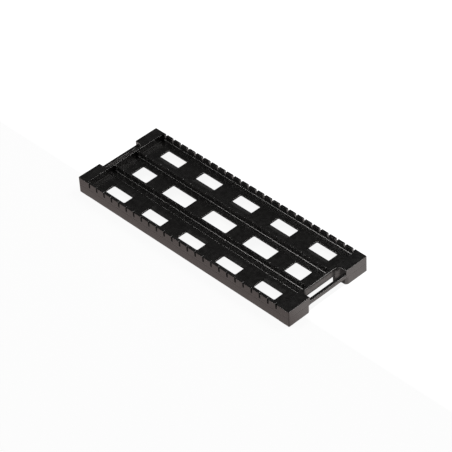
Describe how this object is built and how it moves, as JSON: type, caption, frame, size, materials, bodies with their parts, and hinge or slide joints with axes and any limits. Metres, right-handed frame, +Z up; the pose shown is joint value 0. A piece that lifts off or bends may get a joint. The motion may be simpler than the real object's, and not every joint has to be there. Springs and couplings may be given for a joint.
{
  "type": "pcb magazine rack",
  "caption": "Open conductive plastic tray that holds circuit boards on edge in combs of slots, with a windowed floor and a handle bar at each end.",
  "frame": {"origin": "centre of the rack on the surface that it stands on", "axes": "+X along the rack to its right end, +Y across it to its rear wall, +Z up"},
  "size_m": [0.343, 0.125, 0.0215],
  "materials": {
    "moulding": "satin"
  },
  "bodies": {
    "root": {"front_wall": "moulding", "rear_wall": "moulding", "front_wall_comb": "moulding", "rear_wall_comb": "moulding", "front_guide_rib": "moulding", "rear_guide_rib": "moulding", "front_rib_comb": "moulding", "rear_rib_comb": "moulding", "front_floor_panel": "moulding", "middle_floor_panel": "moulding", "rear_floor_panel": "moulding", "front_left_block": "moulding", "front_right_block": "moulding", "rear_left_block": "moulding", "rear_right_block": "moulding", "left_end_wall": "moulding", "right_end_wall": "moulding", "left_handle_bar": "moulding", "right_handle_bar": "moulding"}
  },
  "joints": []
}
